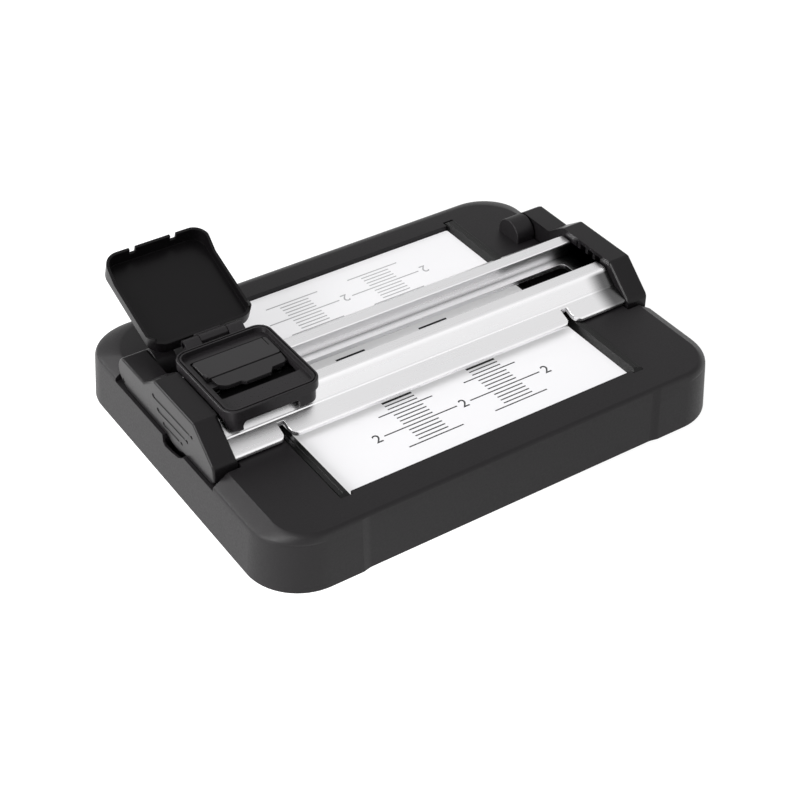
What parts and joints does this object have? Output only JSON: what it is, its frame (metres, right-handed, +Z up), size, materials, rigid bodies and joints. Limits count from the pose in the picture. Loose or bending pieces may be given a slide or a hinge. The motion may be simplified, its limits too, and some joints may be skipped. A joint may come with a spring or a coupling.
{
  "type": "film cutter",
  "caption": "Desk film cutter: flat base with a scale panel and film guides, a hinged aluminium rail and a sliding, press-down blade carriage under a hinged lid.",
  "frame": {"origin": "bottom centre of the object's box, on the surface it stands on, midway across its width and depth", "axes": "+X to the right along the rail, +Y from the front wall to the rear, +Z up"},
  "size_m": [0.1004, 0.0776, 0.0294],
  "materials": {
    "matte_black": "fine matte",
    "block_black": "satin",
    "gloss_black": "gloss",
    "white_panel": "satin, printed scale",
    "grey_strip": "matte",
    "rail_metal": "satin anodised",
    "blade_steel": "ground",
    "steel": "bright",
    "rubber": "matte"
  },
  "bodies": {
    "base": {"base_shell": "matte_black", "bottom_plate": "matte_black", "base_screws": "steel", "rubber_feet": "rubber", "scale_panel": "white_panel", "cutting_strip": "grey_strip", "film_guide_left": "gloss_black", "film_guide_right": "gloss_black", "hinge_pin_left": "steel", "hinge_pin_right": "steel"},
    "rail_arm": {"rail": "rail_metal", "film_grip_front": "rubber", "film_grip_rear": "rubber", "end_block_left": "block_black", "end_block_right": "block_black"},
    "carriage": {"slide_base": "block_black", "slide_keeper": "block_black", "keeper_screws": "steel", "press_springs": "steel"},
    "head": {"carriage_head": "block_black", "blade_cassette": "gloss_black", "blade": "blade_steel", "lid_hinge_pin": "steel"},
    "lid": {"carriage_lid": "block_black"}
  },
  "joints": [
    {"name": "rail_hinge", "type": "hinge", "parent": "base", "child": "rail_arm", "pos_m": [0, 0.018, 0.0137], "axis": [-1, 0, 0], "range_deg": [0, 35]},
    {"name": "carriage_slide", "type": "slide", "parent": "rail_arm", "child": "carriage", "axis": [1, 0, 0], "range_m": [0, 0.0672]},
    {"name": "head_press", "type": "slide", "parent": "carriage", "child": "head", "axis": [0, 0, 1], "range_m": [-0.0007, 0], "stiffness_N_per_m": 400, "springref_m": 0.002, "deforming": ["press_springs"]},
    {"name": "lid_hinge", "type": "hinge", "parent": "head", "child": "lid", "pos_m": [-0.0336, 0.01145, 0.02085], "axis": [1, 0, 0], "range_deg": [0, 159]}
  ]
}
